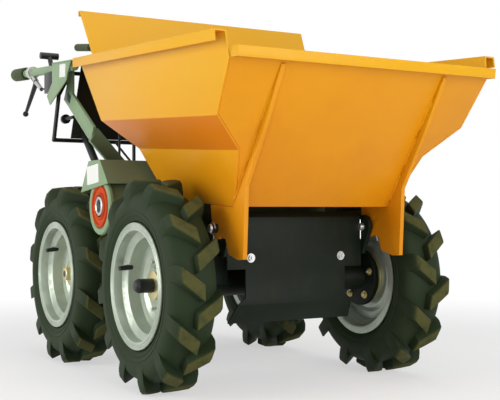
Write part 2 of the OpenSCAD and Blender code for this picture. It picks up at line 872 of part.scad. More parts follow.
module skip_floor() color(skip_orange) in_skip() intersection() {
  across(-floor_hw - spare, floor_hw + spare)
    polygon([
      [rear_x(floor_z) + wall_run + seat, floor_z],
      [front_x(floor_z) - wall_run - seat, floor_z],
      [front_x(floor_z + skip_sheet) - wall_run - seat, floor_z + skip_sheet],
      [rear_x(floor_z + skip_sheet) + wall_run + seat, floor_z + skip_sheet]
    ]);
  between_sides(rim_z, inside(3)[0]);
}

rib_front = 123;
rib_knee = 96;
rib_foot = -56;
rib_proud = 18;
ear_r = 24;
rib_short = 4;
rib_top = lip_z - lip_skirt - rib_short;
rib_flare_z = fold_z - 20;
rib_toe = [25, 3];
rib_hook = [[55, -51], [43, -20], [8, -18], [-20, 0], [-31, floor_z - seat]];

module skip_rib(side) color(skip_orange) in_skip() left_side(side) difference() {
  union() {
    across(rib_y - rib_t / 2, rib_y + rib_t / 2) polygon(concat([
      [front_x(floor_z) + seat, floor_z - seat],
      [front_x(rib_top) + seat, rib_top], [front_x(rib_top) + rib_proud / 3, rib_top],
      [front_x(rib_flare_z) + rib_proud, rib_flare_z], [rib_front, rib_knee], [rib_front, rib_foot],
      [rib_front, rib_foot] - rib_toe
    ], rib_hook));
    translate([0, rib_y - rib_t / 2, 0]) rotate([-90, 0, 0]) cylinder(r = ear_r, h = rib_t);
  }
  translate([0, rib_y - rib_t, 0]) rotate([-90, 0, 0]) cylinder(r = pin_r + run_fit, h = 2 * rib_t);
}

module skip_rib_right() skip_rib(-1);
module skip_rib_left() skip_rib(1);

rail_right();
rail_left();
front_cover();
rear_cross();
skip_rest();
front_axle();
rear_axle();
handle_frame();
drive_case();
engine();
starter_housing();
starter_ring();
hood();
arm_right();
arm_left();
stays();
guard_panel();
guard_hoop();
console_top();
console_right();
console_left();
handlebar_right();
handlebar_left();
grip_right();
grip_left();
lever_right();
lever_left();
pull_handle();
gear_lever();
switch_box();
control_rods();
skip_front();
skip_rear();
skip_side_right();
skip_side_left();
skip_floor();
skip_rib_right();
skip_rib_left();
tyre_front_right();
tyre_front_left();
tyre_rear_right();
tyre_rear_left();
rim_front_right();
rim_front_left();
rim_rear_right();
rim_rear_left();
hub_front_right();
hub_front_left();
hub_rear_right();
hub_rear_left();
knob_right();
knob_left();
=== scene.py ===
# %% [markdown]
# # A walk-behind site dumper
# The machine is a small four-wheel power barrow: an orange skip on a dark frame, lugged tyres on silver rims, an
# engine under a green hood and a long handle behind it. The construction comes ready as CAD pieces, each on the
# body it moves with. This lesson gives those pieces soft edges, finishes and the small hardware.

# %% Load the frame
import json
import math

import bmesh
import bpy
from mathutils import Matrix, Vector


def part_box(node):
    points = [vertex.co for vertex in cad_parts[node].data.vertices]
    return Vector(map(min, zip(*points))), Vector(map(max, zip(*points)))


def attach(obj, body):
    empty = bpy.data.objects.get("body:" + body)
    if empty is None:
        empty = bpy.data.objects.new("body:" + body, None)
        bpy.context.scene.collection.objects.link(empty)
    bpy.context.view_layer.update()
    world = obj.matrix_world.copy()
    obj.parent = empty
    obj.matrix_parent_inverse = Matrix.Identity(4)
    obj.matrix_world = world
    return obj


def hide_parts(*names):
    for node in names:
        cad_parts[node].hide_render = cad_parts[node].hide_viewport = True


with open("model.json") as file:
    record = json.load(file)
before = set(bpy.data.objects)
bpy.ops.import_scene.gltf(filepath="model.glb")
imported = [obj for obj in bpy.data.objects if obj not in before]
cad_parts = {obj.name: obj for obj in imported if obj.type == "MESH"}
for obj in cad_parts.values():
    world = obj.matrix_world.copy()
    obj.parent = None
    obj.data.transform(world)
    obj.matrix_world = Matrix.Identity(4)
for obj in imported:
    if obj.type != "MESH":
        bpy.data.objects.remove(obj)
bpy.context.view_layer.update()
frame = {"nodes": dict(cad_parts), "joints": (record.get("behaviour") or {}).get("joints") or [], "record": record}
NODES = frame["nodes"]

# %% [markdown]
# ## Where things are
# The wheels' joints say where the four wheel centres are. The middle of the wheelbase, on the ground, is a handy
# point to measure from: the camera and most small pieces are placed relative to it.

# %% Wheel centres and the middle of the wheelbase
WHEELS = {j["child"]: Vector(j["pos_m"]) for j in frame["joints"] if j["child"].startswith("wheel_")}
MIDDLE = sum((centre for centre in WHEELS.values()), Vector()) / len(WHEELS)
MIDDLE.z = 0.0
PIVOT = next(Vector(j["pos_m"]) for j in frame["joints"] if j["child"] == "skip")


def spot(x, y, z):
    """A place in metres, measured from the middle of the wheelbase on the ground."""
    return MIDDLE + Vector((x, y, z))


print("wheels:", {name: [round(v, 3) for v in centre] for name, centre in WHEELS.items()})

# %% [markdown]
# ## The camera
# A product photo of a machine is often taken low and from a front corner. A lens of about 70 mm from two and a half
# metres keeps the wheels round and the far side close in size to the near one. The camera's axes are built from a
# yaw, a pitch and a small roll, because that is how a hand-held camera is off.

# %% Camera
CAMERA_AT = spot(2.2861, -1.2117, 0.3896)
CAMERA_YAW, CAMERA_PITCH, CAMERA_ROLL = 2.62189, 0.01661, -0.00381
CAMERA_LENS = 70.97

scene = bpy.context.scene
ahead = Vector((math.cos(CAMERA_YAW) * math.cos(CAMERA_PITCH), math.sin(CAMERA_YAW) * math.cos(CAMERA_PITCH),
                math.sin(CAMERA_PITCH)))
level_right = ahead.cross(Vector((0, 0, 1))).normalized()
level_up = level_right.cross(ahead)
right = math.cos(CAMERA_ROLL) * level_right + math.sin(CAMERA_ROLL) * level_up
up = right.cross(ahead)
camera = bpy.data.objects.new("camera", bpy.data.cameras.new("camera"))
camera.data.lens = CAMERA_LENS
camera.data.sensor_fit = "HORIZONTAL"
camera.data.sensor_width = 36.0
camera.matrix_world = Matrix.Translation(CAMERA_AT) @ Matrix((right, up, -ahead)).transposed().to_4x4()
scene.collection.objects.link(camera)
scene.camera = camera
print("camera at", [round(v, 3) for v in CAMERA_AT])

# %% [markdown]
# ## Writing shaders as sums
# A painted surface is never one flat colour, so each finish mixes a few noises. Node links are hard to read in a
# script. A small class that wraps a socket and overloads the arithmetic operators lets a shader be written as a
# formula, and each operator quietly adds a Math node.

# %% A small class for shader maths
class Field:
    """A value that varies over a surface. Arithmetic on it adds Math nodes."""

    def __init__(self, tree, socket):
        self.tree, self.socket = tree, socket

    def node(self, kind, settings=None, sockets=None, out=0):
        """Any other node: its type, its settings, and the values or links of its sockets."""
        made = self.tree.nodes.new(kind)
        for key, value in (settings or {}).items():
            setattr(made, key, value)
        for key, value in (sockets or {}).items():
            if isinstance(value, Field):
                self.tree.links.new(value.socket, made.inputs[key])
            else:
                made.inputs[key].default_value = value
        return Field(self.tree, made.outputs[out])

    def math(self, operation, first, second, clamp=False):
        return self.node("ShaderNodeMath", {"operation": operation, "use_clamp": clamp}, {0: first, 1: second})

    def __add__(self, other):
        return self.math("ADD", self, other)

    def __mul__(self, other):
        return self.math("MULTIPLY", self, other)

    def __rsub__(self, other):
        return self.math("SUBTRACT", other, self)

    __radd__ = __add__

    def step(self, low, high):
        """0 below low, 1 above high, smooth between."""
        return self.node("ShaderNodeMapRange", {"interpolation_type": "SMOOTHSTEP"},
                         {"Value": self, "From Min": low, "From Max": high})

    def noise(self, scale, detail=3.0, roughness=0.55):
        return self.node("ShaderNodeTexNoise", None,
                         {"Vector": self, "Scale": scale, "Detail": detail, "Roughness": roughness})

    def part(self, axis):
        """One of the three numbers of a vector."""
        return self.node("ShaderNodeSeparateXYZ", None, {0: self}, out="XYZ".index(axis))

    def blend(self, first, second):
        """From one colour to another by this value."""
        return self.node("ShaderNodeMix", {"data_type": "RGBA"}, {0: self, 6: first, 7: second}, out=2)


def colour(red, green, blue):
    return (red, green, blue, 1.0)


def new_finish(name):
    """A material with its Principled shader, and the place on the object as a Field."""
    material = bpy.data.materials.new(name)
    material.use_nodes = True
    tree = material.node_tree
    shader = tree.nodes["Principled BSDF"]
    place = Field(tree, tree.nodes.new("ShaderNodeTexCoord").outputs["Object"])
    return material, shader, place


def feed(shader, **inputs):
    """Sets a constant on a socket, or links a Field to it. An underscore stands for a space."""
    for key, value in inputs.items():
        socket = shader.inputs[key.replace("_", " ")]
        if isinstance(value, Field):
            value.tree.links.new(value.socket, socket)
        else:
            socket.default_value = value


def bumped(height, strength, distance):
    return height.node("ShaderNodeBump", None, {"Height": height, "Strength": strength, "Distance": distance})


print("shader maths ready")

# %% [markdown]
# ## Stage and light
# The machine stands on white, lit softly from the camera's left and above, with only a faint shadow under
# it. A big area lamp gives the soft key, a second one fills the front, a third lights the top, and a weak one near
# the camera lifts what the wheels keep in the dark. The floor is a pale plane that fades into the white of the
# background a little way off, so it keeps the shadow and hides its own far edge.

# %% Floor
FLOOR_HALF = 30.0
FADE_FROM, FADE_TO = 0.7, 2.4
NEAR_GLOW = 0.55


def sees_backdrop(field):
    """1 for the camera and for what gloss or glass shows, 0 for the light that falls on the machine."""
    camera_ray, glossy, transmission = [field.node("ShaderNodeLightPath", out="Is %s Ray" % kind)
                                        for kind in ("Camera", "Glossy", "Transmission")]
    return field.math("ADD", camera_ray + glossy, transmission, clamp=True)


bm = bmesh.new()
bmesh.ops.create_grid(bm, x_segments=1, y_segments=1, size=FLOOR_HALF)
floor = bpy.data.objects.new("floor", bpy.data.meshes.new("floor"))
bm.to_mesh(floor.data)
bm.free()
scene.collection.objects.link(floor)

material, shader, place = new_finish("floor_white")
feed(shader, Base_Color=colour(0.93, 0.93, 0.93), Roughness=0.9, Specular_IOR_Level=0.0)
apart = place.node("ShaderNodeVectorMath", {"operation": "LENGTH"}, {0: place}, out=1)
white = apart.step(FADE_FROM, FADE_TO) * (1.0 - NEAR_GLOW) + NEAR_GLOW
glow = place.node("ShaderNodeEmission", None, {"Color": colour(1, 1, 1), "Strength": 1.0})
mixed = place.node("ShaderNodeMixShader", None,
                   {0: white * sees_backdrop(place), 1: Field(place.tree, shader.outputs[0]), 2: glow})
place.tree.links.new(mixed.socket, place.tree.nodes["Material Output"].inputs["Surface"])
floor.data.materials.append(material)
print("floor:", 2 * FLOOR_HALF, "m across")

# %% Lamps and background
LOOK_AT = spot(0.0, 0.0, 0.45)
AMBIENT = 0.29


def lamp(name, at, size, power):
    """A square area lamp that looks at the machine. Size in metres, power in watts."""
    light = bpy.data.lights.new(name, "AREA")
    light.shape, light.size, light.energy = "SQUARE", size, power
    made = bpy.data.objects.new(name, light)
    made.matrix_world = Matrix.Translation(at) @ (LOOK_AT - at).to_track_quat("-Z", "Y").to_matrix().to_4x4()
    scene.collection.objects.link(made)


lamp("key", spot(-0.2, -3.4, 1.15), 2.2, 68.0)
lamp("front", spot(3.2, 0.4, 1.0), 1.8, 44.0)
lamp("near", spot(2.5, -1.9, 0.45), 0.7, 9.0)
lamp("top", spot(0.8, 0.2, 3.4), 2.6, 36.0)

world = bpy.data.worlds.new("studio")
world.use_nodes = True
scene.world = world
background = world.node_tree.nodes["Background"]
strength = sees_backdrop(Field(world.node_tree, None)) * (1.0 - AMBIENT) + AMBIENT
background.inputs["Color"].default_value = colour(1, 1, 1)
world.node_tree.links.new(strength.socket, background.inputs["Strength"])
scene.view_settings.view_transform = "Standard"

# %% [markdown]
# ## Paint
# Sprayed enamel is smooth from afar and a little uneven close by: a slow cloud in its shade, the fine dimples that
# painters call orange peel, and a thin layer of dust low down. On the skip, painted light makes the upper walls
# yellower and painted shade keeps faces that look down a deeper orange; on the green paint, painted shade darkens
# low faces that look ahead. So the paint also reads the height and how far a face looks down or ahead, which is
# stored on each mesh as an attribute. Noises on Object coordinates need no unwrapping and run on across
# neighbouring sheets, as paint does on a welded skip.

# %% Paint finishes
# A dark dust colour, also used as painted shade on low faces that look ahead.
DUST_AND_SHADE_COLOUR = (0.082, 0.092, 0.043)
CLOUD_SCALE, PEEL_SCALE, DUST_SCALE = 5.0, 380.0, 23.0


def looks(place, way):
    """How far a face looks down or ahead: 1 straight that way, below 0 away from it."""
    return place.node("ShaderNodeAttribute", {"attribute_name": "looks_" + way}, out=2)


def paint(name, main, deep, rough, coat=0.06, dust=0.2, shine=0.3, painted_light=None, painted_shade=None, painted_shade_ahead=0.0):
    material, shader, place = new_finish(name)
    height = place.part("Z")
    cloud = place.noise(CLOUD_SCALE, 4.0).step(0.3, 0.7)
    peel = place.noise(PEEL_SCALE, 2.0)
    dust_and_shade = place.noise(DUST_SCALE, 6.0).step(0.45, 0.75) * (1.0 - height.step(0.15, 0.6)) * dust
    # Painted shade: low faces that look ahead are darkened towards the dust colour.
    if painted_shade_ahead:
        shade_ahead_mask = looks(place, "ahead").step(0.2, 0.6) * (1.0 - height.step(0.55, 0.65)) * painted_shade_ahead
        dust_and_shade = dust_and_shade.math("MAXIMUM", dust_and_shade, shade_ahead_mask)
    paint_tone = cloud.blend(colour(*deep), colour(*main))
    # Painted light and painted shade: upper faces that don't look down are made lighter and yellower, and faces that
    # look down a deeper orange.
    if painted_light:
        shaded = looks(place, "down")
        painted_light_mask = height.step(0.36, 0.74) * (1.0 - shaded.step(0.30, 0.56) * 0.8)
        paint_tone = shaded.step(0.60, 0.76).blend(painted_light_mask.blend(paint_tone, colour(*painted_light)), colour(*painted_shade))
    base = dust_and_shade.blend(paint_tone, colour(*DUST_AND_SHADE_COLOUR))
    feed(shader, Base_Color=base, Roughness=rough + cloud * 0.07 + dust_and_shade * 0.5, Coat_Weight=coat,
         Coat_Roughness=0.2, Specular_IOR_Level=shine, Normal=bumped(peel, 0.05, 0.0006))
    return material


FINISH = {
    # The skip's last two colours are painted light for its upper faces and painted shade for its undersides.
    "skip_paint": paint("skip_orange", (0.74, 0.285, 0.004), (0.68, 0.245, 0.003), 0.38, 0.04, 0.1, 0.22,
                        painted_light=(0.74, 0.375, 0.006), painted_shade=(0.655, 0.188, 0.003)),
    # Its last number is the strength of the painted shade on low faces that look ahead.
    "frame_paint": paint("frame_green", (0.245, 0.350, 0.195), (0.205, 0.300, 0.16), 0.42, painted_shade_ahead=0.75),
    "dark_paint": paint("dark_green", (0.007, 0.012, 0.007), (0.005, 0.008, 0.004), 0.5, 0.0, 0.08, 0.16),
    "black_paint": paint("satin_black", (0.008, 0.010, 0.007), (0.005, 0.006, 0.005), 0.36),
    "starter_red": paint("starter_red", (0.60, 0.070, 0.008), (0.50, 0.052, 0.006), 0.45, 0.0, shine=0.12),
}
print("paints:", sorted(FINISH))

# %% [markdown]
# ## Bare and plated metal
# The rims are silver lacquer, half way between paint and metal. Hubs and bolts are zinc plated and passivated yellow,
# which shifts from straw to a faint green from place to place. The engine's castings are dark and grainy. What
# these share is a metal base with a noise in its roughness, so one function makes them all.

# %% Metal finishes
def metal(name, main, tint, metallic, rough, grain):
    material, shader, place = new_finish(name)
    patch = place.noise(30.0, 3.0).step(0.35, 0.65)
    speck = place.noise(grain, 2.0)
    feed(shader, Base_Color=patch.blend(colour(*main), colour(*tint)), Metallic=metallic,
         Roughness=rough + speck * 0.12, Normal=bumped(speck, 0.08, 0.0005))
    return material


FINISH["rim_silver"] = metal("rim_silver", (0.45, 0.51, 0.42), (0.40, 0.455, 0.37), 0.45, 0.24, 600.0)
FINISH["zinc"] = metal("yellow_zinc", (0.72, 0.58, 0.29), (0.62, 0.57, 0.32), 0.85, 0.28, 500.0)
FINISH["engine_metal"] = metal("engine_casting", (0.052, 0.054, 0.05), (0.04, 0.042, 0.038), 0.3, 0.5, 260.0)
STEEL = metal("bright_steel", (0.58, 0.58, 0.56), (0.52, 0.52, 0.5), 0.9, 0.26, 500.0)
print("metals:", sorted(set(FINISH) & {"rim_silver", "zinc", "engine_metal"}))

# %% [markdown]
# ## Rubber and plastic
# A tyre is black, and a lighter olive brown in patches towards the tops of its lugs. How high a place stands
# over the carcass is known when the tyre is built, so it is stored on the mesh as an attribute and the shader reads
# it. Grips and knobs are plain moulded rubber and plastic with a fine grain.

# %% Rubber and plastic finishes
def moulded(name, main, light, rough, grain, depth):
    material, shader, place = new_finish(name)
    patch = place.noise(14.0, 5.0).step(0.4, 0.7)
    speck = place.noise(grain, 3.0)
    feed(shader, Base_Color=patch.blend(colour(*main), colour(*light)), Roughness=rough + speck * 0.15,
         Specular_IOR_Level=0.35, Normal=bumped(speck, 0.2, depth))
    return material


def tyre_rubber():
    material, shader, place = new_finish("tyre_rubber")
    height = place.node("ShaderNodeAttribute", {"attribute_name": "height"}, out=2)
    # Lighter olive brown in patches towards the lug tops, with rougher rubber there.
    lighter_lug_tops = place.noise(45.0, 5.0).step(0.1, 0.6) * height.step(0.7, 1.0)
    speck = place.noise(520.0, 3.0)
    base = lighter_lug_tops.blend(colour(0.017, 0.029, 0.011), colour(0.078, 0.077, 0.023))
    feed(shader, Base_Color=base, Roughness=0.62 + lighter_lug_tops * 0.2, Specular_IOR_Level=0.15,
         Normal=bumped(speck, 0.25, 0.0006))
    return material


FINISH["tyre"] = tyre_rubber()
FINISH["grip_rubber"] = moulded("grip_rubber", (0.042, 0.062, 0.020), (0.056, 0.078, 0.028), 0.65, 300.0, 0.0008)
FINISH["black_plastic"] = moulded("black_plastic", (0.006, 0.007, 0.006), (0.010, 0.011, 0.009), 0.28, 450.0, 0.0003)
LABEL = moulded("label_white", (0.80, 0.80, 0.76), (0.74, 0.74, 0.70), 0.45, 300.0, 0.0001)
print("finishes:", len(FINISH))

# %% [markdown]
# ## Soft edges on the CAD pieces
# Folded sheet and sawn bar have no knife edges: each corner catches a thin line of light. The CAD meshes come as
# loose triangles and stay untouched, so each is copied, its doubles are merged, its flat triangles are dissolved,
# and then every sharp edge gets a small bevel. Shading is smooth up to an angle, which keeps tubes round.

# %% Dress a CAD piece
SLOT = {sub["node"]: sub["material_slot"] for sub in frame["record"]["subparts"]}
BODY = {node: body for body, nodes in frame["record"]["behaviour"]["bodies"].items() for node in nodes}
SMOOTH_UP_TO = math.radians(32)
SHARP_FROM = math.radians(28)


def add_piece(name, bm, body, finish, instead=()):
    """Makes a mesh piece that moves with a body. It stands for the CAD nodes in instead."""
    mesh = bpy.data.meshes.new(name)
    bm.to_mesh(mesh)
    bm.free()
    mesh.shade_smooth()
    mesh.set_sharp_from_angle(angle=SMOOTH_UP_TO)
    mesh.materials.append(finish)
    piece = bpy.data.objects.new(name, mesh)
    scene.collection.objects.link(piece)
    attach(piece, body)
    if instead:
        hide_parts(*instead)


def dress(node, edge):
    bm = bmesh.new()
    bm.from_mesh(NODES[node].data)
    bmesh.ops.remove_doubles(bm, verts=bm.verts, dist=1e-5)
    bmesh.ops.dissolve_limit(bm, angle_limit=math.radians(0.5), verts=bm.verts, edges=bm.edges)
    sharp = [e for e in bm.edges if e.is_manifold and e.calc_face_angle() > SHARP_FROM]
    bmesh.ops.bevel(bm, geom=sharp, offset=edge, affect="EDGES", segments=2, profile=0.5, material=-1,
                    clamp_overlap=True)
    bm.normal_update()
    # Which way each face looks down and ahead, read by the paints for their painted light and painted shade.
    down, ahead = (bm.faces.layers.float.new("looks_" + way) for way in ("down", "ahead"))
    for face in bm.faces:
        face[down], face[ahead] = -face.normal.z, face.normal.x
    add_piece(node + "_dressed", bm, BODY[node], FINISH[SLOT[node]], [node])


EDGE = {"skip_paint": 0.0014, "frame_paint": 0.0012, "dark_paint": 0.002, "black_paint": 0.001,
        "engine_metal": 0.004, "starter_red": 0.0015, "rim_silver": 0.0014, "zinc": 0.0015,
        "grip_rubber": 0.004, "black_plastic": 0.002}
for node, slot in SLOT.items():
    if slot in EDGE:
        dress(node, EDGE[slot])
print("dressed:", sum(slot in EDGE for slot in SLOT.values()))

# %% [markdown]
# ## Lugged tyres
# A tractor-pattern tyre is a round carcass with two rows of slanted bars that meet near its middle like a zip.
# Each bar starts at the shoulder, where a buttress runs down the side wall. The carcass is a profile that is spun
# about the axle. A bar starts as a box that is cut across its length, its top edges are rounded, and a formula
# then wraps it round the carcass. Copies are turned into place, so one bar is all that needs designing. No two
# wheels of a parked machine stand at the same turn, so each tyre has its own lead, as a share of a bar's pitch.

# %% The carcass
lowest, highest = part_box("tyre_front_left")
TYRE_R = (highest.z - lowest.z) / 2
TYRE_HALF = (highest.y - lowest.y) / 2
LUG_HEIGHT = 0.0225
CARCASS_R = TYRE_R - LUG_HEIGHT
SEAT_R, FLANGE_R = 0.1272, 0.141
BEAD_HALF = 0.0463
BULGE_R = (FLANGE_R + CARCASS_R) / 2
BULGE_DEPTH = 0.012
CROWN_POWER = 0.75
RIDGE = 0.0016
RIDGES_AT = (0.1545, 0.1660)


def side_wall(turn):
    """Radius and half width on the bulge of a side wall, from the rim up to its widest place."""
    return (BULGE_R + (CARCASS_R - BULGE_R) * math.sin(turn),
            TYRE_HALF - BULGE_DEPTH + BULGE_DEPTH * math.cos(turn))


def crown(turn):
    """Radius and half width from the widest place up to the middle of the tread."""
    return (BULGE_R + (CARCASS_R - BULGE_R) * math.sin(turn) ** CROWN_POWER,
            TYRE_HALF * max(math.cos(turn), 0.0) ** CROWN_POWER)


def lathe(bm, outline, steps):
    """Spins an outline of (radius, place along Y) about the Y axis."""
    verts = [bm.verts.new((radius, along, 0.0)) for radius, along in outline]
    edges = [bm.edges.new(pair) for pair in zip(verts, verts[1:])]
    bmesh.ops.spin(bm, geom=verts + edges, cent=(0, 0, 0), axis=(0, 1, 0), angle=math.tau, steps=steps,
                   use_merge=True)
    bmesh.ops.remove_doubles(bm, verts=bm.verts, dist=1e-6)
    bmesh.ops.recalc_face_normals(bm, faces=bm.faces)


def ridge(radius):
    """Three points of a moulded line that runs round the side wall."""
    turn = math.asin((radius - BULGE_R) / (CARCASS_R - BULGE_R))
    along = side_wall(turn)[1]
    return [(radius - RIDGE, along), (radius, along + RIDGE * 0.8), (radius + RIDGE, along)]


half = [(SEAT_R, BEAD_HALF)]
half += [side_wall(math.radians(turn)) for turn in range(-90, 0, 15)]
half += [point for radius in RIDGES_AT for point in ridge(radius)]
half.sort()
half += [crown(math.radians(turn)) for turn in range(0, 90, 9)]
CARCASS = half + [(CARCASS_R, 0.0)] + [(radius, -along) for radius, along in reversed(half)]
print("carcass points:", len(CARCASS))

# %% One lug, wrapped on the tread
LUGS_A_SIDE = 12
LUG_WIDTH = 0.027
LUG_PAST = 0.006
LUG_SLANT = math.radians(38)
LUG_BEVEL = 0.008
LUG_CUTS = 9
LUG_ROUND = 0.0028
LUG_ROOT = 0.006
LUG_FLARE = 0.3


def carcass_at(along):
    """Radius of the carcass at a distance from the tyre's middle."""
    share = min(abs(along) / TYRE_HALF, 1.0)
    turn = math.acos(share ** (1 / CROWN_POWER))
    return crown(turn)[0]


def wrapped(length_share, across, height_share):
    """A place on a lug: along its length from the middle outwards, across it, and up from the carcass."""
    along = -LUG_PAST + (TYRE_HALF + LUG_PAST) * length_share
    over = max(along - TYRE_HALF + LUG_BEVEL, 0.0) / LUG_BEVEL
    top = TYRE_R - LUG_HEIGHT * over
    foot = carcass_at(along) - LUG_ROOT
    radius = foot + (top - foot) * height_share
    lean = math.tan(LUG_SLANT) * (along + LUG_PAST)
    spread = across * (1.0 + LUG_FLARE * (1.0 - height_share)) / math.cos(LUG_SLANT)
    turn = (lean + spread) / TYRE_R
    return Vector((radius * math.cos(turn), along, radius * math.sin(turn)))


def lug_mesh():
    bm = bmesh.new()
    bmesh.ops.create_cube(bm, size=1.0)
    long_edges = [e for e in bm.edges if abs(e.verts[0].co.x - e.verts[1].co.x) > 0.5]
    bmesh.ops.subdivide_edges(bm, edges=long_edges, cuts=LUG_CUTS)
    bmesh.ops.transform(bm, matrix=Matrix.Diagonal((TYRE_HALF, LUG_WIDTH, LUG_HEIGHT, 1.0)), verts=bm.verts)
    rim = [e for e in bm.edges if e.calc_face_angle(0.0) > 1.0 and min(v.co.z for v in e.verts) > 0.0]
    bmesh.ops.bevel(bm, geom=rim, offset=LUG_ROUND, affect="EDGES", segments=2, profile=0.5, material=-1)
    for vert in bm.verts:
        vert.co = wrapped(vert.co.x / TYRE_HALF + 0.5, vert.co.y, vert.co.z / LUG_HEIGHT + 0.5)
    mesh = bpy.data.meshes.new("lug")
    bm.to_mesh(mesh)
    bm.free()
    return mesh


LUG = lug_mesh()
print("lug vertices:", len(LUG.vertices))

# %% Four tyres
LEADS = {"wheel_front_right": 0.02, "wheel_front_left": 0.43, "wheel_rear_right": 0.79, "wheel_rear_left": 0.15}


def side_of(wheel):
    """1 for a wheel on the left side, -1 for one on the right."""
    return 1.0 if wheel.endswith("left") else -1.0


def on_wheel(wheel):
    """Puts a mesh made about the origin, outer side towards +Y, on its wheel. The right side is mirrored."""
    return Matrix.Translation(WHEELS[wheel]) @ Matrix.Diagonal((1.0, side_of(wheel), 1.0, 1.0))


def add_mesh(bm, mesh, matrix):
    """Adds a copy of a mesh, moved by a matrix."""
    known = set(bm.verts)
    bm.from_mesh(mesh)
    bmesh.ops.transform(bm, matrix=matrix, verts=[v for v in bm.verts if v not in known])


def tyre(wheel):
    bm = bmesh.new()
    lathe(bm, CARCASS, 96)
    pitch = math.tau / LUGS_A_SIDE
    for number in range(LUGS_A_SIDE):
        for side, start in ((1.0, 0.0), (-1.0, 0.5)):
            turned = Matrix.Rotation(-(number + start - LEADS[wheel]) * pitch, 4, "Y")
            add_mesh(bm, LUG, turned @ Matrix.Diagonal((1.0, side, 1.0, 1.0)))
    height = bm.verts.layers.float.new("height")
    for vert in bm.verts:
        radius = math.hypot(vert.co.x, vert.co.z)
        vert[height] = min(max((radius - CARCASS_R) / LUG_HEIGHT, 0.0), 1.0)
    bmesh.ops.transform(bm, matrix=on_wheel(wheel), verts=bm.verts)
    bmesh.ops.recalc_face_normals(bm, faces=bm.faces)
    node = wheel.replace("wheel_", "tyre_")
    add_piece(node + "_lugged", bm, wheel, FINISH["tyre"], [node])


for wheel in WHEELS:
    tyre(wheel)
print("tyres:", len(WHEELS))

# %% [markdown]
# ## Rolled edges on the rims
# The edge of a pressed rim is rolled over, and fine steps run round its lip. Each catches its own line of light. A
# round outline that is closed on itself and spun gives a solid bead, and three of them sit on each lip.

# %% Rim beads
RIM_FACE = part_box("rim_front_left")[1].y - WHEELS["wheel_front_left"].y
RIM_BEADS = (0.1388, 0.1336, 0.1285)
BEAD_R = 0.0019


def hoop(bm, radius, thick, height, steps):
    """A round bead about the Y axis. The height is the place of its own middle along that axis."""
    turns = [math.radians(45 * step) for step in range(9)]
    lathe(bm, [(radius + thick * math.cos(turn), height + thick * math.sin(turn)) for turn in turns], steps)


def settle(bm, matrix):
    """Moves a spun mesh to its place. A mirrored one is turned right side out again."""
    bmesh.ops.transform(bm, matrix=matrix, verts=bm.verts)
    bmesh.ops.recalc_face_normals(bm, faces=bm.faces)


for wheel in WHEELS:
    bm = bmesh.new()
    for radius in RIM_BEADS:
        hoop(bm, radius, BEAD_R, RIM_FACE - BEAD_R / 3, 96)
    settle(bm, on_wheel(wheel))
    add_piece(wheel + "_rim_beads", bm, wheel, FINISH["rim_silver"])
print("rim face at", round(RIM_FACE, 4))

# %% [markdown]
# ## Bolts and pins
# Hardware is what tells a machine from a toy: zinc bolts in the rear wheels and bright ones in the front, bolts that
# hold the front cover, and the ends of the tipping pins. A bolt is a washer, a six-sided head and the end of its
# thread, all made by the cone operator standing on a place and pointing along a direction. The bolts of each wheel
# are joined in one mesh, and so are those of each group on the chassis.

# %% A bolt
SIDEWAYS = Vector((0.0, 1.0, 0.0))
AHEAD = Vector((1.0, 0.0, 0.0))
UPWARDS = Vector((0.0, 0.0, 1.0))


def disc(bm, at, out, radius, height, sides=24, top=None):
    """A short cylinder, or a cone with a top radius, that stands on a place and points along a direction."""
    stand = Matrix.Translation(at + out * (height / 2)) @ out.to_track_quat("Z", "X").to_matrix().to_4x4()
    bmesh.ops.create_cone(bm, cap_ends=True, segments=sides, radius1=radius, depth=height, matrix=stand,
                          radius2=radius if top is None else top)


def bolt(bm, at, out, size):
    """Washer, head and thread. The size is the radius over the head's corners."""
    disc(bm, at, out, size * 1.35, size * 0.25, 20)
    disc(bm, at + out * (size * 0.25), out, size, size * 0.7, 6)
    disc(bm, at + out * (size * 0.95), out, size * 0.55, size * 0.35, 16, size * 0.45)


def round_the_axle(centre, side, radius, along, turn):
    """A place on a wheel: along the axle outwards from the wheel's middle, and turned upwards from the front."""
    return centre + Vector((radius * math.cos(turn), side * along, radius * math.sin(turn)))


print("bolt parts: 3")

# %% Wheel bolts and hub plugs
DISC_FACE = -0.016
BOLTS_A_WHEEL = 4
BOLT_CIRCLE, BOLT_SIZE = 0.053, 0.0095
SMALL_CIRCLE, SMALL_SIZE, SMALL_TURN = BOLT_CIRCLE - 0.004, 0.0055, math.radians(34)
STUD_R, STUD_TIP_R, STUD_LENGTH = 0.0048, 0.0042, 0.026
PLUG_R, PLUG_TIP_R, PLUG_HEIGHT, PLUG_SUNK = 0.0095, 0.0085, 0.0046, 0.004
for wheel, centre in WHEELS.items():
    side = side_of(wheel)
    out = SIDEWAYS * side
    bm = bmesh.new()
    for number in range(BOLTS_A_WHEEL):
        turn = math.radians(360 / BOLTS_A_WHEEL * number)
        at = round_the_axle(centre, side, BOLT_CIRCLE, DISC_FACE, turn)
        bolt(bm, at, out, BOLT_SIZE)
        disc(bm, at, out, STUD_R, STUD_LENGTH, 20, STUD_TIP_R)
        bolt(bm, round_the_axle(centre, side, SMALL_CIRCLE, DISC_FACE, turn + SMALL_TURN), out, SMALL_SIZE)
    add_piece(wheel + "_bolts", bm, wheel, STEEL if "front" in wheel else FINISH["zinc"])
    if "rear" in wheel:
        hub_low, hub_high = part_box(wheel.replace("wheel_", "hub_"))
        hub_end = Vector((centre.x, hub_high.y if side > 0 else hub_low.y, centre.z))
        bm = bmesh.new()
        disc(bm, hub_end - out * PLUG_SUNK, out, PLUG_R, PLUG_HEIGHT, 28, PLUG_TIP_R)
        add_piece(wheel + "_hub_plug", bm, wheel, FINISH["black_plastic"])
print("wheel bolts:", 2 * BOLTS_A_WHEEL * len(WHEELS))

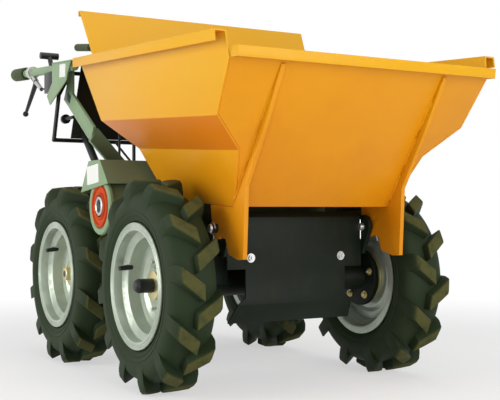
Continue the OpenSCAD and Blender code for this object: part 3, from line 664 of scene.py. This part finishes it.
# %% Drum bolts
DRUM_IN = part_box("front_axle")[1].y - 0.0522
DRUM_BOLTS, DRUM_CIRCLE, DRUM_BOLT_SIZE = 5, 0.052, 0.007
bm = bmesh.new()
for wheel, centre in WHEELS.items():
    side = side_of(wheel)
    inner_face = Vector((centre.x, side * DRUM_IN, centre.z))
    for number in range(DRUM_BOLTS):
        turn = math.radians(360 / DRUM_BOLTS * number + 18)
        bolt(bm, round_the_axle(inner_face, side, DRUM_CIRCLE, 0.0, turn), SIDEWAYS * -side, DRUM_BOLT_SIZE)
add_piece("drum_bolts", bm, "chassis", FINISH["zinc"])
print("drum face at", round(DRUM_IN, 4))

# %% Cover bolts and pin ends
SIDES = {"right": -1.0, "left": 1.0}
COVER_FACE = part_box("front_cover")[1].x
COVER_BOLT_Y, COVER_BOLT_Z, COVER_BOLT_SIZE = 0.121, 0.297, 0.0076
PIN_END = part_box("rail_left")[1].y
LUG_IN = 0.1817
PIN_OUTER, PIN_INNER = (0.0102, 0.004, 24, 0.0085), (0.0098, 0.009, 24, 0.0082)
bm = bmesh.new()
for side in SIDES.values():
    bolt(bm, Vector((COVER_FACE, side * COVER_BOLT_Y, COVER_BOLT_Z)), AHEAD, COVER_BOLT_SIZE)
    out = SIDEWAYS * side
    disc(bm, Vector((PIVOT.x, side * PIN_END, PIVOT.z)), out, *PIN_OUTER)
    disc(bm, Vector((PIVOT.x, side * LUG_IN, PIVOT.z)), -out, *PIN_INNER)
add_piece("cover_bolts", bm, "chassis", STEEL)
print("cover face at", round(COVER_FACE, 4), "pin ends at", round(PIN_END, 4))

# %% [markdown]
# A spring clip through each pin keeps the skip's ribs on. It is a bent wire, so it is drawn as a smooth curve with a
# round bevel and then turned into a mesh, which is quicker than extruding a circle by hand. The same function
# makes the levers' pull rods below.

# %% Wire pieces
def wire(name, points, radius, finish):
    """A round wire along some points, as a mesh piece of the chassis. The points pull a smooth curve."""
    curve = bpy.data.curves.new(name, "CURVE")
    curve.dimensions = "3D"
    curve.bevel_depth = radius
    curve.bevel_resolution = 3
    curve.use_fill_caps = True
    spline = curve.splines.new("NURBS")
    spline.points.add(len(points) - 1)
    for point, place in zip(spline.points, points):
        point.co = (*place, 1.0)
    spline.order_u = 3
    spline.use_endpoint_u = True
    spline.resolution_u = 6
    drawn = bpy.data.objects.new(name, curve)
    bm = bmesh.new()
    bm.from_mesh(drawn.to_mesh())
    drawn.to_mesh_clear()
    bpy.data.objects.remove(drawn)
    add_piece(name, bm, "chassis", finish)


CLIP_R, CLIP_WIRE, COTTER_WIRE = 0.013, 0.0016, 0.0018
CLIP_IN = 0.005
for name, side in SIDES.items():
    middle = Vector((PIVOT.x, side * (PIN_END - CLIP_IN), PIVOT.z))
    loop = [middle + Vector((CLIP_R * math.cos(turn), 0.0, CLIP_R * math.sin(turn)))
            for turn in (math.radians(40 * step) for step in range(8))]
    leg = [middle + Vector((0.006, 0.0, -0.018)), middle + Vector((0.010, side * 0.002, -0.034))]
    wire("pin_clip_" + name, loop + leg, CLIP_WIRE, STEEL)
    inner = Vector((PIVOT.x, side * (LUG_IN - CLIP_IN), PIVOT.z))
    wire("pin_cotter_" + name, [inner + UPWARDS * 0.017, inner, inner + Vector((0.001, 0.0, -0.028))], COTTER_WIRE,
         STEEL)
print("clips and cotters:", 2 * len(SIDES))

# %% [markdown]
# ## Valves
# Each tube's valve comes through the rim as a black rubber stem with a cap, pointing outwards. It is two
# cylinders on the wheel's body, so that it turns with the rim.

# %% Valve stems
VALVE_TURN = {"front": math.radians(160), "rear": math.radians(143)}
VALVE_FOOT, VALVE_TIP = (0.109, 0.014), (0.102, 0.046)
STEM_R, STEM_TIP_R, STEM_LENGTH = 0.0066, 0.0058, 0.022
VALVE_CAP_R, VALVE_CAP_AT, VALVE_CAP_LENGTH = 0.0054, 0.020, 0.014
for wheel, centre in WHEELS.items():
    side = side_of(wheel)
    turn = VALVE_TURN[wheel.split("_")[1]]
    foot = round_the_axle(centre, side, *VALVE_FOOT, turn)
    tip = round_the_axle(centre, side, *VALVE_TIP, turn)
    out = (tip - foot).normalized()
    bm = bmesh.new()
    disc(bm, foot, out, STEM_R, STEM_LENGTH, 20, STEM_TIP_R)
    disc(bm, foot + out * VALVE_CAP_AT, out, VALVE_CAP_R, VALVE_CAP_LENGTH, 20)
    add_piece(wheel + "_valve", bm, wheel, FINISH["black_plastic"])
print("valves:", len(WHEELS))

# %% [markdown]
# ## Stitch welds on the ribs
# The ribs are welded to the front wall in short runs with gaps, which warps thin sheet less than one long run. A
# weld is a row of overlapping drops of metal, so each run is a row of small spheres, half sunk in the corner between
# rib and wall. The wall's lowest corner and its lean say where that corner runs.

# %% Welds
def farthest(node, direction):
    """The vertex of a CAD node that lies farthest along a direction."""
    return max((v.co for v in NODES[node].data.vertices), key=lambda place: place.dot(direction)).copy()


SKIP_TILT_DEG, FRONT_LEAN_DEG = 3.9, 31.4
WALL_LEAN = math.radians(FRONT_LEAN_DEG + SKIP_TILT_DEG)
WALL_UP = Vector((math.sin(WALL_LEAN), 0.0, math.cos(WALL_LEAN)))
WALL_OUT = Vector((math.cos(WALL_LEAN), 0.0, -math.sin(WALL_LEAN)))
WALL_FOOT = farthest("skip_front", -WALL_UP + WALL_OUT * 0.1)
WALL_FOOT.y = 0.0
RIB_FACES = [corner.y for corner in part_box("skip_rib_left")]
RUNS, FIRST_RUN_AT, RUN_LENGTH, RUN_PITCH = 3, 0.022, 0.070, 0.096
DROP_PITCH, DROP_R = 0.0042, 0.0052
bm = bmesh.new()
for side in SIDES.values():
    for beside in RIB_FACES:
        for run in range(RUNS):
            for drop in range(int(RUN_LENGTH / DROP_PITCH)):
                up_wall = FIRST_RUN_AT + run * RUN_PITCH + drop * DROP_PITCH
                at = WALL_FOOT + WALL_UP * up_wall + SIDEWAYS * (side * beside)
                bmesh.ops.create_icosphere(bm, subdivisions=1, radius=DROP_R, matrix=Matrix.Translation(at))
add_piece("rib_welds", bm, "skip", FINISH["skip_paint"])
print("wall foot:", [round(v, 3) for v in WALL_FOOT])

# %% [markdown]
# ## Caps in the lip's ends
# The front wall's lip is folded like a gutter. A small plate closes each end of it. The skip leans a little about its
# pivot, so the plate's corners are written in the skip's own upright frame and turned with it.

# %% Lip caps
LIP_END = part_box("skip_front")[1].y
CAP_THICK, CAP_SUNK = 0.003, 0.0003
CAP_OUTLINE = [(0.2525, 0.3445), (0.2630, 0.3630), (0.2780, 0.3630), (0.2780, 0.3445)]
bm = bmesh.new()
for side in SIDES.values():
    ring = [bm.verts.new((x, side * (LIP_END - CAP_THICK), z)) for x, z in CAP_OUTLINE]
    grown = bmesh.ops.extrude_face_region(bm, geom=[bm.faces.new(ring)])
    moved = [v for v in grown["geom"] if isinstance(v, bmesh.types.BMVert)]
    bmesh.ops.translate(bm, verts=moved, vec=SIDEWAYS * (side * (CAP_THICK - CAP_SUNK)))
settle(bm, Matrix.Translation(PIVOT) @ Matrix.Rotation(math.radians(SKIP_TILT_DEG), 4, "Y"))
add_piece("lip_caps", bm, "skip", FINISH["skip_paint"])
print("lip ends at", round(LIP_END, 4))

# %% [markdown]
# ## Starter, labels and levers
# The recoil starter has a bright steel cup in the middle of its red ring, and two raised beads like those of the rims
# run round the ring. Two blank labels sit on the hood and on the console's plate: each is a thin slab laid on the
# sheet. A bent pull rod joins each hand lever to its handle tube, and a bright band clamps the lever there.

# %% Starter cup and beads
ring_low, ring_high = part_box("starter_ring")
CUP_AT = Vector(((ring_low.x + ring_high.x) / 2, ring_low.y, (ring_low.z + ring_high.z) / 2))
CUP_PLACE = Matrix.Translation(CUP_AT) @ Matrix.Diagonal((1.0, -1.0, 1.0, 1.0))
STARTER_BEADS, STARTER_BEAD_R, STARTER_BEAD_OUT = (0.0490, 0.0305), 0.0032, 0.0004
CUP_OUTLINE = [(0.016, -0.006), (0.0165, 0.003), (0.019, 0.0052), (0.0235, 0.0035), (0.0255, -0.006), (0.016, -0.006)]
COLLAR_OUTLINE = [(0.0560, -0.008), (0.0560, 0.0008), (0.0580, 0.0018), (0.0690, 0.0012), (0.0715, -0.002),
                  (0.0715, -0.008), (0.0560, -0.008)]
RECESS_R, RECESS_HEIGHT, RECESS_IN = 0.0275, 0.003, 0.007
bm = bmesh.new()
for radius in STARTER_BEADS:
    hoop(bm, radius, STARTER_BEAD_R, STARTER_BEAD_OUT, 56)
settle(bm, CUP_PLACE)
add_piece("starter_beads", bm, "chassis", FINISH["starter_red"])
bm = bmesh.new()
lathe(bm, CUP_OUTLINE, 48)
settle(bm, CUP_PLACE)
add_piece("starter_cup", bm, "chassis", STEEL)
bm = bmesh.new()
lathe(bm, COLLAR_OUTLINE, 64)
settle(bm, CUP_PLACE)
add_piece("starter_collar", bm, "chassis", FINISH["frame_paint"])
bm = bmesh.new()
disc(bm, CUP_AT + SIDEWAYS * RECESS_IN, -SIDEWAYS, RECESS_R, RECESS_HEIGHT, 40)
add_piece("starter_recess", bm, "chassis", FINISH["black_plastic"])
print("cup at", [round(v, 3) for v in CUP_AT])

# %% Labels and arm plugs
SLAB_THICK, SLAB_CORNER, LABEL_PROUD = 0.0008, 0.0025, 0.0003
ARM_FACE = 0.250
ARM_RUN = Vector((-0.842, 0.0, 0.539))


def slab(name, at, out, along, width, height, finish):
    """A thin sheet with round corners. Its width runs along a direction, its face looks along another."""
    turned = Matrix((along, out.cross(along), out)).transposed().to_4x4()
    bm = bmesh.new()
    bmesh.ops.create_cube(bm, size=1.0)
    bmesh.ops.transform(bm, matrix=Matrix.Diagonal((width, height, SLAB_THICK, 1.0)), verts=bm.verts)
    corners = [e for e in bm.edges if abs(e.verts[0].co.z - e.verts[1].co.z) > SLAB_THICK / 2]
    bmesh.ops.bevel(bm, geom=corners, offset=SLAB_CORNER, affect="EDGES", segments=3, profile=0.5, material=-1)
    bmesh.ops.transform(bm, matrix=Matrix.Translation(at) @ turned, verts=bm.verts)
    add_piece(name, bm, "chassis", finish)


def label(name, plate, x, z, tilt_deg, width, height):
    """A blank label on an upright plate of the right side. Its front end is tilted upwards."""
    tilt = math.radians(tilt_deg)
    at = Vector((spot(x, 0, 0).x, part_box(plate)[0].y - LABEL_PROUD, z))
    slab(name, at, -SIDEWAYS, Vector((math.cos(tilt), 0.0, math.sin(tilt))), width, height, LABEL)


label("hood_label", "hood", -0.032, 0.495, 4.1, 0.079, 0.046)
for name, side in SIDES.items():
    plug_at = spot(-0.4507, side * (ARM_FACE + SLAB_THICK / 2), 0.7346)
    slab("arm_plug_" + name, plug_at, SIDEWAYS * side, ARM_RUN, 0.030, 0.022, FINISH["black_plastic"])
label("console_label", "console_right", -0.384, 0.803, -4.6, 0.050, 0.037)
print("labels: 2, plugs:", len(SIDES))

# %% Pull rods and clamps
BAR_Y = (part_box("handlebar_left")[0].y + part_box("handlebar_left")[1].y) / 2
PULL_WIRE = 0.0024
CLAMP_SHARE = 0.581
CLAMP_R, CLAMP_HALF = 0.0186, 0.0137
BRACKET_R, SLEEVE_R, SLEEVE_TIP_R = 0.0086, 0.0082, 0.0062
for name, side in SIDES.items():
    y = side * BAR_Y
    pull = [spot(-0.624, y, 0.778), spot(-0.604, y, 0.774), spot(-0.575, y, 0.784), spot(-0.545, y, 0.800),
            spot(-0.515, y, 0.816)]
    wire("lever_pull_" + name, pull, PULL_WIRE, FINISH["black_plastic"])
    tube_front, tube_rear = spot(-0.478, y, 0.8212), spot(-0.886, y, 0.854)
    clamp = tube_front.lerp(tube_rear, CLAMP_SHARE)
    along = (tube_rear - tube_front).normalized()
    lever_pivot = spot(-0.676, y, 0.806)
    drop, arm = lever_pivot - clamp, pull[0] - lever_pivot
    bm = bmesh.new()
    disc(bm, clamp - along * CLAMP_HALF, along, CLAMP_R, 2 * CLAMP_HALF, 32)
    disc(bm, clamp, drop.normalized(), BRACKET_R, drop.length)
    disc(bm, lever_pivot, arm.normalized(), SLEEVE_R, arm.length, top=SLEEVE_TIP_R)
    add_piece("lever_clamp_" + name, bm, "chassis", STEEL)
print("pull rods:", len(SIDES), "clamps:", len(SIDES))

# %% The gear lever's grip
GRIP_R, GRIP_TIP_R, GRIP_PAST, GRIP_ROUND = 0.0115, 0.0085, 0.0154, 0.003
knee, end = spot(-0.552, -0.150, 0.905), spot(-0.652, -0.150, 0.920)
along = (end - knee).normalized()
bm = bmesh.new()
disc(bm, knee - along * GRIP_PAST, along, GRIP_R, (end - knee).length + GRIP_PAST, 32)
disc(bm, end, along, GRIP_R, GRIP_ROUND, 32, GRIP_TIP_R)
add_piece("gear_grip", bm, "chassis", FINISH["grip_rubber"])
print("grip length:", round((end - knee).length + GRIP_PAST + GRIP_ROUND, 4))

# %% [markdown]
# ## Shift rods
# Behind the hood, thin rods run from the handle down to the plate that carries it, and shift the gears. Each is a
# slim cylinder with a washer and a lock nut at its foot, so a bolt's shape serves there once more.

# %% Shift rods
PLATE_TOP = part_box("handle_frame")[1].z
hoop_low, hoop_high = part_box("guard_hoop")
HOOP_BAR = Vector(((hoop_low.x + hoop_high.x) / 2, 0.0, hoop_low.z + (hoop_high.x - hoop_low.x) / 2))
UNDER_CONSOLE = 0.800
LOCK_NUT = 2.2
SHIFT_RODS = [
    (spot(-0.385, -0.120, PLATE_TOP), spot(-0.385, -0.120, UNDER_CONSOLE), 0.0036),
    (spot(-0.360, -0.085, PLATE_TOP), spot(-0.360, -0.085, UNDER_CONSOLE), 0.0050),
    (spot(-0.335, -0.094, PLATE_TOP), HOOP_BAR - SIDEWAYS * 0.094, 0.0034),
]
bm = bmesh.new()
for foot, head, radius in SHIFT_RODS:
    run = head - foot
    disc(bm, foot, run.normalized(), radius, run.length, 20)
    bolt(bm, foot, UPWARDS, radius * LOCK_NUT)
add_piece("shift_rods", bm, "chassis", FINISH["black_paint"])
print("shift rods:", len(SHIFT_RODS))
